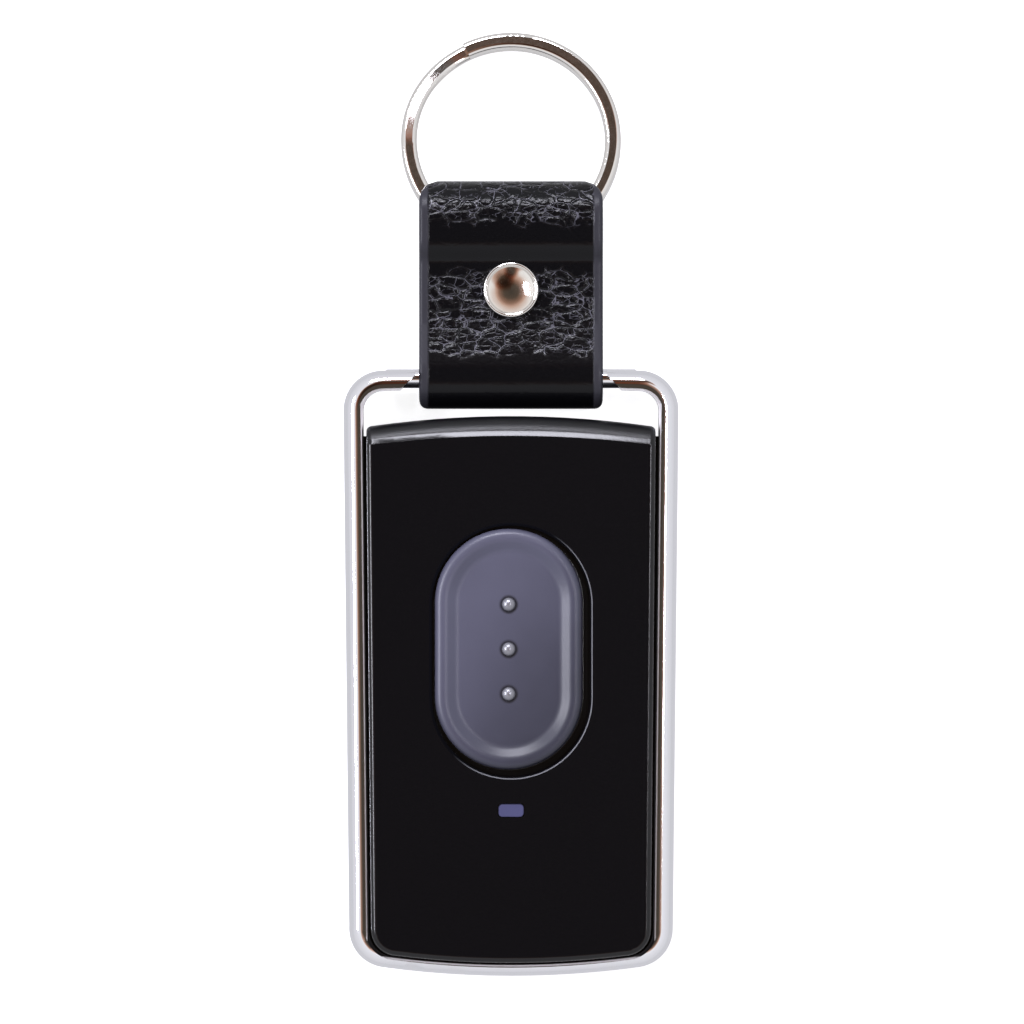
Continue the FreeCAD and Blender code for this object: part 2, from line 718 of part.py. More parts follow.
def build_button():
    body = new_body("button_cap")
    flange_back = flange_top - d.button_flange
    sketch = new_sketch(body, "flange_sketch", "XY_Plane", flange_back)
    reach = 2 * d.button_flange_reach
    draw_slot(sketch, d.button_x, d.button_y, d.button_width + reach, d.button_length + reach)
    pad(body, sketch, "flange", d.button_flange)
    sketch = new_sketch(body, "button_sketch", "XY_Plane", flange_back)
    draw_slot(sketch, d.button_x, d.button_y, d.button_width, d.button_length)
    pad(body, sketch, "button_block", button_top - flange_back)
    edges = edges_where(body.Shape, at_level(button_top))
    dress(body, "PartDesign::Fillet", "button_edge", edges[0:1], d.button_rim * 0.75)

    rim = 2 * (d.button_rim + d.button_dish * 0.5)
    sketch = new_sketch(body, "dish_sketch", "XY_Plane", button_top)
    draw_slot(sketch, d.button_x, d.button_y, d.button_width - rim, d.button_length - rim)
    pocket(body, sketch, "dish", d.button_dish, False)
    edges = edges_where(body.Shape, at_level(button_floor))
    dress(body, "PartDesign::Fillet", "dish_floor", edges[0:1], d.button_dish * 0.8)

    inner = 2 * (d.button_rim + d.button_flange)
    hollow = button_floor - d.button_shell - flange_back
    sketch = new_sketch(body, "hollow_sketch", "XY_Plane", flange_back)
    draw_slot(sketch, d.button_x, d.button_y, d.button_width - inner, d.button_length - inner)
    pocket(body, sketch, "hollow", hollow, True)
    presser = stem_top + d.stem_gap
    stand_post(body, "presser", 0, d.button_y, presser, d.stem_radius + 0.6, button_floor - presser)

    for number in (-1, 0, 1):
        add_dot(body, "dot_%d" % (number + 1), d.button_y + number * d.dot_pitch)
    return body


def add_dot(body, name, y):
    """A low round dot, turned about its own upright axis."""
    sketch = new_sketch(body, name + "_sketch", "YZ_Plane", d.button_x)
    low = button_floor - 0.2
    top = button_floor + d.dot_height
    shoulder = button_floor + d.dot_height * 0.35
    corners = [(y, low), (y + d.dot_radius, low), (y + d.dot_radius, shoulder), (y, top)]
    rise = top - shoulder
    radii = [None, None, (d.dot_radius * d.dot_radius + rise * rise) / (2 * rise), None]
    draw_outline(sketch, corners, radii)
    turn = body.newObject("PartDesign::Revolution", name)
    turn.Profile = sketch
    turn.ReferenceAxis = (sketch, ["Edge4"])
    turn.Angle = 360.0
    doc.recompute()


def build_light_guide():
    body = new_body("light_guide")
    tall = d.light_length / 2
    wide = d.light_width / 2
    top = d.body_thick - d.light_sunk
    back = front_inner - d.light_flange
    sketch = new_sketch(body, "guide_flange_sketch", "XY_Plane", back)
    draw_box(sketch, -(wide + 0.8), wide + 0.8, d.light_y - tall - 0.8, d.light_y + tall + 0.8)
    pad(body, sketch, "guide_flange", d.light_flange)
    sketch = new_sketch(body, "guide_sketch", "XY_Plane", back)
    draw_box(sketch, -wide, wide, d.light_y - tall, d.light_y + tall, d.light_corner)
    pad(body, sketch, "guide_column", top - back)
    return body


# Circuit board and what it carries

def build_board():
    body = new_body("circuit_board")
    sketch = new_sketch(body, "board_sketch", "XY_Plane", d.board_z)
    half = d.board_width / 2
    low = d.board_y - d.board_length / 2
    high = d.board_y + d.board_length / 2
    draw_box(sketch, -half, half, low, high, 1.0)
    pad(body, sketch, "board", d.board_thick)
    for number, (x, y) in enumerate(post_spots()):
        drill(body, "board_hole_%d" % number, x, y, d.board_z, d.pin_radius + d.pin_gap, d.board_thick)
    return body


def place_box(name, x, y, z, wide, long, tall):
    """A box centred over x and y, standing at z."""
    box = doc.addObject("Part::Box", name)
    box.setExpression("Length", sized(wide).text)
    box.setExpression("Width", sized(long).text)
    box.setExpression("Height", sized(tall).text)
    box.setExpression("Placement.Base.x", (sized(x) - sized(wide) / 2).text)
    box.setExpression("Placement.Base.y", (sized(y) - sized(long) / 2).text)
    box.setExpression("Placement.Base.z", sized(z).text)
    return box


def place_cylinder(name, x, y, z, radius, tall):
    rod = doc.addObject("Part::Cylinder", name)
    rod.setExpression("Radius", sized(radius).text)
    rod.setExpression("Height", sized(tall).text)
    rod.setExpression("Placement.Base.x", sized(x).text)
    rod.setExpression("Placement.Base.y", sized(y).text)
    rod.setExpression("Placement.Base.z", sized(z).text)
    return rod


def boolean(kind, name, base, tool):
    result = doc.addObject(kind, name)
    result.Base = base
    result.Tool = tool
    result.Label = name
    return result


def gather(name, pieces):
    """Separate solids kept together under one name."""
    group = doc.addObject("Part::Compound", name)
    group.Links = pieces
    group.Label = name
    return group


def build_switch():
    housing = place_box("housing_block", 0, d.button_y, board_top, d.switch_width, d.switch_width, d.switch_tall)
    guide = place_cylinder(
        "housing_guide", 0, d.button_y, board_top + 0.8, d.stem_radius + 0.5 + d.stem_gap, d.switch_tall)
    housing = boolean("Part::Cut", "switch_housing", housing, guide)

    plate_z = board_top + d.switch_tall
    plate = place_box("cover_plate", 0, d.button_y, plate_z, d.switch_width, d.switch_width, 0.2)
    hole = place_cylinder("cover_hole", 0, d.button_y, plate_z - 0.5, d.stem_radius + d.stem_gap, 1.5)
    cover = boolean("Part::Cut", "switch_cover", plate, hole)

    skirt_z = board_top + 0.8 + d.press_travel + d.stem_gap
    skirt = place_cylinder(
        "stem_skirt", 0, d.button_y, skirt_z, d.stem_radius + 0.5, plate_z - d.stem_gap - skirt_z)
    stem = place_cylinder("stem_rod", 0, d.button_y, skirt_z, d.stem_radius, stem_top - skirt_z)
    plunger = boolean("Part::Fuse", "switch_plunger", skirt, stem)
    return [housing, cover, plunger]


def build_chips():
    led = place_box("led_chip", 0, d.light_y, board_top, 1.6, 0.8, 0.7)
    led.Label = "led_chip"
    controller = place_box("chip_body", d.chip_x, d.chip_y, board_top + 0.15, d.chip_width, d.chip_length, 1.4)
    legs = []
    for side in (-1, 1):
        for number in range(4):
            x = d.chip_x + side * (d.chip_width / 2 + 0.5)
            y = d.chip_y + (number - 1.5) * d.chip_pitch
            legs.append(place_box("leg_%d_%d" % (side + 1, number), x, y, board_top, 1.1, 0.4, 0.45))
    controller_all = doc.addObject("Part::MultiFuse", "controller_chip")
    controller_all.Shapes = [controller] + legs
    controller_all.Label = "controller_chip"
    can = place_box("resonator_can", d.can_x, d.can_y, board_top, d.can_width, d.can_width, 1.3)
    can.Label = "resonator_can"
    transistor = place_box("rf_transistor", d.transistor_x, d.transistor_y, board_top, 1.3, 2.9, 1.0)
    transistor.Label = "rf_transistor"
    capacitors = []
    resistors = []
    for number in range(4):
        y = d.row_y - number * d.row_pitch
        size = (d.small_long, d.small_wide)
        capacitors.append(place_box("capacitor_%d" % number, d.capacitor_x, y, board_top, *size, 0.8))
        resistors.append(place_box("resistor_%d" % number, d.resistor_x, y, board_top, *size, 0.45))
    return [
        led,
        controller_all,
        can,
        transistor,
        gather("chip_capacitors", capacitors),
        gather("chip_resistors", resistors),
    ]


def build_cell():
    base = place_cylinder("cell_can", 0, d.cell_y, cell_back, d.cell_radius, d.cell_thick - 0.4)
    lid = place_cylinder("cell_lid", 0, d.cell_y, cell_back, d.cell_radius - 1.1, d.cell_thick)
    cell = boolean("Part::Fuse", "coin_cell", base, lid)
    contact = place_cylinder("cell_contact", 0, d.cell_y, cell_top, d.contact_radius, d.board_z - cell_top)
    contact.Label = "cell_contact"
    return [cell, contact]


def build_clip():
    """A bridge of spring sheet under the cell, with legs up to the board."""
    body = new_body("cell_clip")
    sketch = new_sketch(body, "clip_sketch", "XZ_Plane", -(d.cell_y + d.clip_width / 2))
    inner = d.cell_radius + 0.12
    outer = inner + d.clip_sheet
    foot = outer + 1.3
    top = d.board_z
    corners = [
        (-outer, cell_back - d.clip_sheet),
        (outer, cell_back - d.clip_sheet),
        (outer, top - d.clip_sheet),
        (foot, top - d.clip_sheet),
        (foot, top),
        (inner, top),
        (inner, cell_back),
        (-inner, cell_back),
        (-inner, top),
        (-foot, top),
        (-foot, top - d.clip_sheet),
        (-outer, top - d.clip_sheet),
    ]
    draw_outline(sketch, corners)
    pad(body, sketch, "clip", d.clip_width)
    return body


def build_coil():
    """Air-wound coil: a helix of square wire along X over the board's head end."""
    radius = d.coil_radius.value
    wire = d.coil_wire.value
    length = d.coil_turns.value * d.coil_pitch.value
    helix = Part.makeHelix(d.coil_pitch.value, length, radius)
    start = Part.makePolygon([
        V(radius - wire, 0, -wire),
        V(radius + wire, 0, -wire),
        V(radius + wire, 0, wire),
        V(radius - wire, 0, wire),
        V(radius - wire, 0, -wire),
    ])
    coil = Part.Wire(helix.Edges).makePipeShell([start], True, True)
    coil.rotate(V(0, 0, 0), V(0, 1, 0), 90)
    height = board_top.value + radius + wire
    along = d.button_y.value + d.button_length.value / 2 - d.coil_inside.value
    coil.translate(V(d.coil_x.value - length / 2, along, height))
    feature = doc.addObject("Part::Feature", "antenna_coil")
    feature.Shape = coil
    feature.Label = "antenna_coil"
    return feature


def build_screws():
    screws = []
    for number, (x, y) in enumerate(screw_spots()):
        seat = screw_seat
        head = place_cylinder(
            "screw_head_%d" % number, x, y, seat - d.screw_head_thick, d.screw_head_radius, d.screw_head_thick)
        shank = place_cylinder("screw_shank_%d" % number, x, y, seat - 0.2, d.screw_radius, d.screw_length)
        whole = boolean("Part::Fuse", "screw_%d" % number, head, shank)
        slot = place_box(
            "screw_slot_%d" % number, x, y, seat - d.screw_head_thick - 0.1, d.screw_head_radius * 1.3, 0.4, 0.5)
        cross = place_box(
            "screw_cross_%d" % number, x, y, seat - d.screw_head_thick - 0.1, 0.4, d.screw_head_radius * 1.3, 0.5)
        whole = boolean("Part::Cut", "screw_cut_%d" % number, whole, slot)
        screws.append(boolean("Part::Cut", "screw_done_%d" % number, whole, cross))
    return gather("case_screws", screws)


# Split ring: two flat coils and the step between them

ring_half = (d.ring_coil * 2 + d.ring_split) / 2
near_y = ring_y - d.ring_radius + d.ring_wire / 2


def ring_tilt():
    """The strap holds the ring's near side level with the rod; its far side lies on the table."""
    drop = split_z.value - ring_half.value
    reach = ring_y.value - near_y.value + d.ring_radius.value
    return math.degrees(math.atan2(drop, reach))


def ring_height(y):
    """Middle of the ring's thickness at one place along Y."""
    return split_z.value - (y - near_y.value) * math.tan(math.radians(ring_tilt()))


def ring_centre():
    return V(0, ring_y.value, ring_height(ring_y.value))


def wire_section(radius, z, sides):
    """Section of the wire in the XZ plane, rounded above (1), below (-1) or on both sides."""
    half = d.ring_coil.value / 2
    wide = d.ring_wire.value / 2
    soft = d.ring_round.value
    bend = soft * (1 - math.sqrt(0.5))
    edges = []
    start = V(radius - wide, 0, z)
    for across, up in ((-1, 1), (1, 1), (1, -1), (-1, -1)):
        corner = V(radius + across * wide, 0, z + up * half)
        beside = corner - V(across * soft, 0, 0)
        below = corner - V(0, 0, up * soft)
        first, last = (below, beside) if across * up < 0 else (beside, below)
        if up in sides:
            edges.append(Part.LineSegment(start, first))
            edges.append(Part.Arc(first, corner - V(across * bend, 0, up * bend), last))
            start = last
        else:
            edges.append(Part.LineSegment(start, corner))
            start = corner
    edges.append(Part.LineSegment(start, V(radius - wide, 0, z)))
    return Part.Wire([edge.toShape() for edge in edges])


def build_ring():
    radius = d.ring_radius.value - d.ring_wire.value / 2
    level = (d.ring_coil.value + d.ring_split.value) / 2
    step = d.ring_joggle.value
    axis = V(0, 0, 1)
    origin = V(0, 0, 0)

    lower = Part.Face(wire_section(radius, -level, (-1,)))
    lower.rotate(origin, axis, step)
    lower = lower.revolve(origin, axis, 360 - 2 * step)
    upper = Part.Face(wire_section(radius, level, (1,)))
    upper.rotate(origin, axis, step)
    upper = upper.revolve(origin, axis, 360 - 2 * step)

    stations = []
    count = 8
    for number in range(count + 1):
        share = number / count
        section = wire_section(radius, -level + 2 * level * (0.5 - 0.5 * math.cos(math.pi * share)), (-1, 1))
        section.rotate(origin, axis, -step + 2 * step * share)
        stations.append(section)
    joggle = Part.makeLoft(stations, True, False)
    ring = lower.fuse([joggle, upper])
    ring.rotate(origin, axis, d.ring_joggle_at.value)
    ring.rotate(origin, V(1, 0, 0), -ring_tilt())
    feature = doc.addObject("Part::Feature", "split_ring")
    feature.Shape = ring
    feature.Label = "split_ring"
    feature.Placement = FreeCAD.Placement(ring_centre(), feature.Placement.Rotation)
    return feature


# Strap: one strip folded round the rod and the ring, its ends lapped under the rivet

def rounded_path(points, radii):
    """Straight runs joined by tangent arcs, each as stations of (point, side direction)."""
    pieces = []
    last = points[0]
    for index in range(1, len(points) - 1):
        here = points[index]
        back = (points[index - 1] - here).normalize()
        on = (points[index + 1] - here).normalize()
        half = back.getAngle(on) / 2
        run = radii[index] / math.tan(half)
        start = here + back * run
        end = here + on * run
        inwards = (back + on).normalize()
        centre = here + inwards * (radii[index] / math.sin(half))
        middle = centre - inwards * radii[index]
        if (start - last).Length > 1e-6:
            pieces.append(straight_stations(last, start))
        turn = 1 if back.cross(on).x < 0 else -1
        pieces.append([(point, (centre - point).normalize() * turn) for point in (start, middle, end)])
        last = end
    pieces.append(straight_stations(last, points[-1]))
    return pieces


def straight_stations(a, b):
    along = (b - a).normalize()
    side = V(0, -along.z, along.y)
    return [(a, side), (b, side)]


def strip_outline(pieces, thick):
    """Closed outline of a strip of even thickness along the path."""
    edges = []
    for shift in (thick / 2, -thick / 2):
        for piece in pieces:
            moved = [point + side * shift for point, side in piece]
            curve = Part.LineSegment(*moved) if len(moved) == 2 else Part.Arc(*moved)
            edges.append(curve.toShape())
    for point, side in (pieces[0][0], pieces[-1][-1]):
        edges.append(Part.LineSegment(point - side * (thick / 2), point + side * (thick / 2)).toShape())
    return Part.Wire(Part.__sortEdges__(edges))


def strap_path():
    """Middle line of the leather in the YZ plane, from the inner end to the outer end."""
    thick = d.strap_thick.value
    middle = split_z.value
    rod = rod_y.value
    rivet = rivet_y.value
    fold = d.rod_radius.value + d.strap_rod_gap.value + thick / 2
    loop_middle, loop_half = ring_loop()
    loop = loop_half + thick / 2
    far = strap_far.value - thick / 2
    lap = d.strap_lap.value
    ply = thick + d.strap_ply_gap.value
    flat = d.rivet_radius.value + 0.6
    foot = rod - fold
    points = [
        V(0, rivet + lap, middle),
        V(0, rivet - flat, middle),
        V(0, rod + 1.2, middle - fold),
        V(0, foot, middle - fold),
        V(0, foot, middle + fold),
        V(0, rod + 1.2, middle + fold),
        V(0, rivet - flat, middle + ply),
        V(0, rivet + flat, middle + ply),
        V(0, far - loop - d.loop_run.value, loop_middle + loop),
        V(0, far, loop_middle + loop),
        V(0, far, loop_middle - loop),
        V(0, far - loop - d.loop_run.value, loop_middle - loop),
        V(0, rivet + flat, middle - ply),
        V(0, rivet - lap, middle - ply),
    ]
    ease = 2.2
    radii = [0, ease, ease, fold, fold, ease, ease, ease, ease, loop, loop, ease, ease, 0]
    return rounded_path(points, radii)


def ring_loop():
    """Middle and half the inside height of the ring's loop, for the tilted ring and its clearance."""
    tilt = math.radians(ring_tilt())
    near = ring_y.value - d.ring_radius.value
    far = strap_far.value - d.strap_thick.value
    half = ring_half.value / math.cos(tilt) + (far - near) / 2 * math.tan(tilt) + d.ring_gap.value
    return ring_height((near + far) / 2), half


def ring_passage(margin):
    """The space that the ring turns in, with a margin all round."""
    outer = d.ring_radius.value + margin
    inner = d.ring_radius.value - d.ring_wire.value - margin
    half = ring_half.value + margin
    space = Part.makeCylinder(outer, 2 * half, V(0, 0, -half))
    space = space.cut(Part.makeCylinder(inner, 2 * half, V(0, 0, -half)))
    space.rotate(V(0, 0, 0), V(1, 0, 0), -ring_tilt())
    space.translate(ring_centre())
    return space


def strap_plan():
    """The strap seen from the front, a block with rounded corners at both folds."""
    half = d.strap_half.value
    rod_end = rod_y.value - d.rod_radius.value - d.strap_rod_gap.value - d.strap_thick.value
    far_end = strap_far.value
    block = Part.makeBox(2 * half, far_end - rod_end, d.body_thick.value, V(-half, rod_end, 0))
    for end, radius in ((rod_end, d.strap_corner.value), (far_end, d.strap_far_corner.value)):
        corners = [edge for edge in block.Edges if near(edge.BoundBox.YMin, end) and edge.BoundBox.ZLength > 1.0]
        block = block.makeFillet(radius, [edge for edge in corners if near(edge.BoundBox.YMax, end)])
    return block


def build_strap():
    thick = d.strap_thick.value
    half = d.strap_half.value
    outline = strip_outline(strap_path(), thick)
    strap = Part.Face(outline).extrude(V(2 * half, 0, 0))
    strap.translate(V(-half, 0, 0))
    strap = strap.common(strap_plan())
    strap = strap.cut(ring_passage(d.ring_room.value))
    hole = d.rivet_tube.value + d.rivet_gap.value
    deep = 6 * thick
    strap = strap.cut(Part.makeCylinder(hole, deep, V(0, rivet_y.value, split_z.value - deep / 2)))
    feature = doc.addObject("Part::Feature", "leather_strap")
    feature.Shape = strap
    feature.Label = "leather_strap"
    return feature


# Rivet: domed cap with a tube, and a post whose stem fills the tube

rivet_front = split_z + d.strap_thick * 1.5 + d.strap_ply_gap * 2
rivet_back = split_z - d.strap_thick * 1.5 - d.strap_ply_gap * 2


def turned(name, label, corners, radii):
    """A body turned about the upright axis through the rivet's centre."""
    body = new_body(label)
    sketch = new_sketch(body, name + "_sketch", "YZ_Plane")
    draw_outline(sketch, corners, radii)
    turn = body.newObject("PartDesign::Revolution", name)
    turn.Profile = sketch
    turn.ReferenceAxis = (sketch, ["Edge%d" % len(corners)])
    turn.Angle = 360.0
    doc.recompute()
    return body


def build_rivet():
    y = rivet_y
    z = rivet_front
    edge = d.rivet_radius
    groove = edge - d.rivet_rim
    tube_inner = d.rivet_stem + d.rivet_gap
    tube_end = z - 1.6 * d.strap_thick
    dome = d.rivet_dome
    corners = [
        (y, z + 0.1),
        (y + tube_inner, z + 0.1),
        (y + tube_inner, tube_end),
        (y + d.rivet_tube, tube_end),
        (y + d.rivet_tube, z),
        (y + edge, z),
        (y + edge, z + d.rivet_edge),
        (y + groove, z + d.rivet_edge),
        (y + groove - 0.12, z + d.rivet_edge * 0.6),
        (y, z + dome + d.rivet_edge * 0.6),
    ]
    radii = [None] * 10
    radii[6] = d.rivet_rim * 0.52
    radii[8] = bow_radius(groove - 0.12, dome)
    cap = turned("cap_turning", "rivet_cap", corners, radii)

    base = rivet_back
    stem = d.rivet_stem
    corners = [
        (y, base - 0.75),
        (y + edge - 0.3, base - 0.4),
        (y + edge - 0.3, base),
        (y + stem, base),
        (y + stem, z),
        (y, z),
    ]
    radii = [bow_radius(edge - 0.3, sized(0.35))] + [None] * 5
    post = turned("post_turning", "rivet_post", corners, radii)
    return [cap, post]


# Build, check and write

parts = [build_frame(), build_front_shell(), build_rear_shell(), build_button(), build_light_guide(), build_board()]
parts += build_switch() + build_chips() + build_cell() + [build_clip(), build_coil(), build_screws()]
parts += [build_ring(), build_strap()] + build_rivet()
doc.recompute()

for item in doc.Objects:
    if "Invalid" in item.State or "Error" in item.State:
        raise RuntimeError(item.Name + " failed: " + str(item.State))
os.makedirs("parts", exist_ok=True)
for part in parts:
    shape = part.Shape
    if shape.isNull() or not shape.isValid():
        raise RuntimeError(part.Label + " is not a valid shape")
    print(part.Label, len(shape.Solids), "solids", round(shape.Volume, 2), "mm3")
    shape.exportStep("parts/" + part.Label + ".step")
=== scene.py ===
import bpy
import bmesh
import math
from mathutils import Matrix, Vector


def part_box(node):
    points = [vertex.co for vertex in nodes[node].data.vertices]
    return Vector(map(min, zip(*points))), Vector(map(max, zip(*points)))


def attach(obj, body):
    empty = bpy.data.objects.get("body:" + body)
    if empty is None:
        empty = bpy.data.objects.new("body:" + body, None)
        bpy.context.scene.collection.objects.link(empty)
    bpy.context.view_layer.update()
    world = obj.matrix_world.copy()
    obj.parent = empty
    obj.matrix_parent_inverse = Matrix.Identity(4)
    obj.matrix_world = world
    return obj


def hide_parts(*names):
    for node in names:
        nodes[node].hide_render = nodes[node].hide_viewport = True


# Key fob transmitter on a pale table, seen from straight above.
# Everything is in metres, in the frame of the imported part.

mm = 0.001
white = (1.0, 1.0, 1.0, 1.0)
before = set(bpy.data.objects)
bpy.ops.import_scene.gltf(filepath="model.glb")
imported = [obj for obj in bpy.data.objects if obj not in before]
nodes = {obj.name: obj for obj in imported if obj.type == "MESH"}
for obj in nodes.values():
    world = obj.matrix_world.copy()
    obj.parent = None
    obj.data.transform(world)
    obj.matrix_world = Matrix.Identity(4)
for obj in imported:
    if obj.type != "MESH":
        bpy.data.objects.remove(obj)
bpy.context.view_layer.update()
print("frame loaded:", len(nodes), "nodes")


# Shader maths as plain sums

class Wire:
    # one output socket of a material or world
    def __init__(self, shade, socket):
        self.shade = shade
        self.socket = socket

    def math(self, operation, *values):
        inputs = dict(enumerate((self,) + values))
        return self.shade.node("ShaderNodeMath", {"operation": operation}, inputs)

    def __add__(self, other):
        return self.math("ADD", other)

    def __sub__(self, other):
        return self.math("SUBTRACT", other)

    def __rsub__(self, other):
        return self * -1.0 + other

    def __mul__(self, other):
        return self.math("MULTIPLY", other)

    def __truediv__(self, other):
        return self.math("DIVIDE", other)

    def size(self):
        return self.math("ABSOLUTE")

    def root(self):
        return self.math("SQRT")

    def atLeast(self, other):
        return self.math("MAXIMUM", other)

    def atMost(self, other):
        return self.math("MINIMUM", other)

    def ramp(self, low, high):
        # 0 below low, 1 above high, smooth between
        inputs = {"Value": self, "From Min": low, "From Max": high}
        return self.shade.node("ShaderNodeMapRange", {"interpolation_type": "SMOOTHSTEP"}, inputs)

    def fade(self, low, high):
        # 1 below low, 0 above high, smooth between
        return 1.0 - self.ramp(low, high)

    def around(self, middle, spread):
        # turns a noise of 0 to 1 into one that varies by the spread about the middle
        return self * spread + (middle - spread / 2)


class Shade:
    # the nodes of a material or world in the making
    def __init__(self, block):
        block.use_nodes = True
        self.block = block
        self.tree = block.node_tree
        self.tree.nodes.clear()
        self.texture = None

    def node(self, kind, settings=None, inputs=None, output=0):
        made = self.tree.nodes.new(kind)
        for name, value in (settings or {}).items():
            if name == "stops":
                self.setStops(made.color_ramp, value)
            else:
                setattr(made, name, value)
        for name, value in (inputs or {}).items():
            if isinstance(value, Wire):
                self.tree.links.new(value.socket, made.inputs[name])
            else:
                made.inputs[name].default_value = value
        return Wire(self, made.outputs[output]) if made.outputs else made

    def setStops(self, ramp, stops):
        while len(ramp.elements) < len(stops):
            ramp.elements.new(0.5)
        for element, (position, colour) in zip(ramp.elements, stops):
            element.position = position
            element.color = colour

    def where(self, scale=(1.0, 1.0, 1.0)):
        # object coordinates, stretched by the scale
        if self.texture is None:
            self.texture = self.node("ShaderNodeTexCoord", output="Object")
        inputs = {"Vector": self.texture, "Scale": scale}
        return self.node("ShaderNodeMapping", {"vector_type": "POINT"}, inputs)

    def axis(self, name):
        return self.node("ShaderNodeSeparateXYZ", None, {"Vector": self.where()}, output=name)

    def noise(self, size, detail=2.0):
        inputs = {"Vector": self.where(), "Scale": 1.0 / size, "Detail": detail, "Roughness": 0.55}
        return self.node("ShaderNodeTexNoise", None, inputs)

    def cells(self, size, scale, sway):
        # distance to the edges of cells, which sway by that length over a little more than a cell
        inputs = {"Vector": self.where(), "Scale": 0.8 / size}
        push = self.node("ShaderNodeTexNoise", None, inputs, output="Color")
        inputs = {0: push, 1: (sway, sway, sway), 2: self.where(scale)}
        swayed = self.node("ShaderNodeVectorMath", {"operation": "MULTIPLY_ADD"}, inputs)
        inputs = {"Vector": swayed, "Scale": 1.0 / size}
        return self.node("ShaderNodeTexVoronoi", {"feature": "DISTANCE_TO_EDGE"}, inputs, output="Distance")

    def mix(self, factor, first, second, blend="MIX"):
        settings = {"data_type": "RGBA", "blend_type": blend}
        return self.node("ShaderNodeMix", settings, {0: factor, 6: first, 7: second}, output=2)

    def bump(self, height, depth):
        inputs = {"Height": height, "Distance": depth, "Strength": 1.0}
        return self.node("ShaderNodeBump", None, inputs)

    def rays(self, *kinds):
        # 1 for rays of any of these kinds, else 0
        found = [self.node("ShaderNodeLightPath", output=kind) for kind in kinds]
        either = found.pop()
        for other in found:
            either = either.atLeast(other)
        return either

    def finish(self, **inputs):
        # a Principled surface; underscores stand for the spaces in the names of its sockets
        named = {name.replace("_", " "): value for name, value in inputs.items()}
        surface = self.node("ShaderNodeBsdfPrincipled", None, named)
        self.node("ShaderNodeOutputMaterial", None, {"Surface": surface})
        return self.block


def newShade(name):
    return Shade(bpy.data.materials.new(name))


# Finishes; a pair of values is where a mask starts to change and where it is done

chrome = {
    "colour": (0.84, 0.84, 0.87, 1.0),
    # painted shade for the recess inside the band
    "wellShadeColour": (0.03, 0.03, 0.032, 1.0),
    "roughness": 0.07,
    "streaks": 0.5 * mm,
    "streakRoughness": 0.05,
    "ledgeRoughness": 0.40,
    "waves": 4.0 * mm,
    "waveDepth": 0.010 * mm,
    "sideSpread": 0.0109,  # how far the sides spread for each metre towards the head
    "footBow": 0.2068,  # side squared over this is how far the foot's ends come up
    "ledgeAt": 9.5 * mm,
    "ledgeReach": (0.05 * mm, 0.10 * mm),
    "ledgeSide": (16.00 * mm, 16.04 * mm),
    "ledgeFoot": (-30.18 * mm, -30.08 * mm),
    "ledgeHead": (33.0 * mm, 33.2 * mm),
    "wellTop": (9.7 * mm, 10.0 * mm),
    "wellSide": (15.86 * mm, 15.90 * mm),
    "wellFoot": (-30.00 * mm, -29.90 * mm),
    "wellHead": (28.0 * mm, 29.0 * mm),
}


def makeChrome():
    shade = newShade("chrome")
    waves = shade.noise(chrome["waves"], 1.0)
    streaks = shade.noise(chrome["streaks"], 3.0)
    side, along, up = [shade.axis(name) for name in "XYZ"]
    outward = side.size() - along * chrome["sideSpread"]
    headward = along - side * side * (1.0 / chrome["footBow"])
    # the sunken ledge inside the band is satin
    ledge = (up - chrome["ledgeAt"]).size().fade(*chrome["ledgeReach"])
    ledge = ledge * outward.fade(*chrome["ledgeSide"]) * headward.ramp(*chrome["ledgeFoot"])
    ledge = ledge * along.fade(*chrome["ledgeHead"])
    # inside it the well is painted dark: painted shade in the recess
    wellShade = up.fade(*chrome["wellTop"]) * outward.fade(*chrome["wellSide"])
    wellShade = wellShade * headward.ramp(*chrome["wellFoot"]) * along.fade(*chrome["wellHead"])
    shine = streaks.around(chrome["roughness"], chrome["streakRoughness"])
    return shade.finish(
        Base_Color=shade.mix(wellShade, chrome["colour"], chrome["wellShadeColour"]),
        Metallic=1.0,
        Roughness=shine + ledge * chrome["ledgeRoughness"],
        Normal=shade.bump(waves, chrome["waveDepth"]),
    )


shell = {
    "colour": (0.0044, 0.0042, 0.0054, 1.0),
    # painted highlight for the edge of the button's opening
    "openingHighlightColour": (0.26, 0.26, 0.28, 1.0),
    "roughness": 0.15,
    "grainRoughness": 0.10,
    "rollRoughness": 0.20,
    "specular": 0.40,
    "grain": 0.16 * mm,
    "grainDepth": 0.004 * mm,
    "rollGrain": 0.020 * mm,
    "rollGrainFrom": (0.40 * mm, 0.70 * mm),
    "rollAt": 27.50 * mm,
    "rollBow": 0.244,  # side squared over this is how far the roll's ends come down
    "rollRadius": 2.1 * mm,
    "stripSlope": 0.39,
    "stripWide": 0.55 * mm,
    "openingY": 4.15 * mm,
    "openingStraight": 5.05 * mm,
    "openingHalf": 8.57 * mm,
    "openingHighlightFrom": (0.14 * mm, 0.18 * mm),
    "openingHighlightTo": (0.26 * mm, 0.30 * mm),
    "paintedLightLean": 0.45,
    "paintedLightSide": (-1.5 * mm, 3.0 * mm),
}


